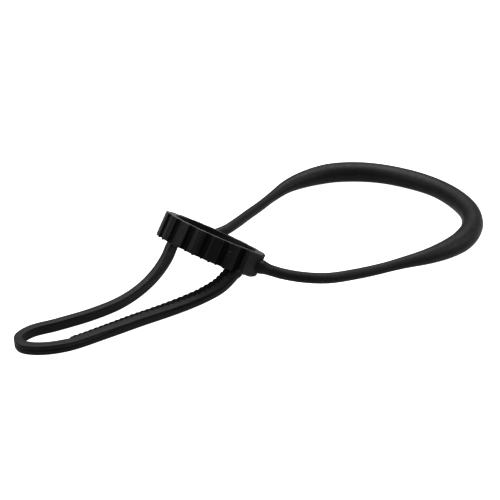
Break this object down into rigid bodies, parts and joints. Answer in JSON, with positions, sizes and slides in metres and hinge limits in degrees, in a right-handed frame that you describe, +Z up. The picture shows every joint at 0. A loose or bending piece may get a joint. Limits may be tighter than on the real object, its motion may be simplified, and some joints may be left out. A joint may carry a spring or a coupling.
{
  "type": "racket wrist tether",
  "caption": "Adjustable rubber wrist tether: padded wrist loop and toothed tail loop running through a fluted collar that grips a racket handle.",
  "frame": {"origin": "on the table, under the middle of the whole tether", "axes": "+X along the tether towards the wrist pad, +Y across it towards the guide lug, +Z up"},
  "size_m": [0.1862, 0.0819, 0.0277],
  "materials": {
    "collar_rubber": "moulded matte black rubber with fine dust",
    "block_rubber": "moulded satin black rubber",
    "strap_rubber": "satin black rubber with a faint grain"
  },
  "bodies": {
    "collar": {"collar_ring": "collar_rubber", "adjuster_block": "block_rubber", "guide_lug": "collar_rubber", "near_link": "strap_rubber", "far_link": "strap_rubber"},
    "tongue": {"locking_tongue": "block_rubber"},
    "wrist_legs": {"front_leg_root": "strap_rubber", "front_leg": "strap_rubber", "back_leg_root": "strap_rubber", "back_leg": "strap_rubber"},
    "wrist_loop": {"front_taper": "strap_rubber", "wrist_pad": "strap_rubber", "back_taper": "strap_rubber"},
    "tail_legs": {"toothed_leg_root": "strap_rubber", "toothed_leg": "strap_rubber", "smooth_leg_root": "strap_rubber", "smooth_leg": "strap_rubber"},
    "tail_bend": {"hairpin_bend": "strap_rubber"}
  },
  "joints": [
    {"name": "wrist_flex", "type": "hinge", "parent": "collar", "child": "wrist_legs", "pos_m": [-0.0095, -0.002, 0.0088], "axis": [0, -1, 0], "range_deg": [-20, 60], "stiffness_Nm_per_rad": 0.004, "deforming": ["front_leg_root", "back_leg_root"]},
    {"name": "wrist_draw", "type": "slide", "parent": "wrist_legs", "child": "wrist_loop", "axis": [1, 0, 0], "range_m": [-0.008, 0.016], "deforming": ["front_leg", "back_leg"]},
    {"name": "tail_flex", "type": "hinge", "parent": "collar", "child": "tail_legs", "pos_m": [-0.0225, -0.002, 0.009], "axis": [0, 1, 0], "range_deg": [-30, 20], "stiffness_Nm_per_rad": 0.003, "deforming": ["toothed_leg_root", "smooth_leg_root"]},
    {"name": "tail_draw", "type": "slide", "parent": "tail_legs", "child": "tail_bend", "axis": [1, 0, 0], "range_m": [-0.008, 0.016], "deforming": ["toothed_leg", "smooth_leg"]},
    {"name": "tongue_lift", "type": "hinge", "parent": "collar", "child": "tongue", "pos_m": [-0.0149, -0.02, 0.0141], "axis": [0, 1, 0], "range_deg": [0, 12], "stiffness_Nm_per_rad": 0.00002}
  ],
  "couplings": [
    {"joint": "tail_draw", "follows": "wrist_draw", "ratio": 1}
  ]
}
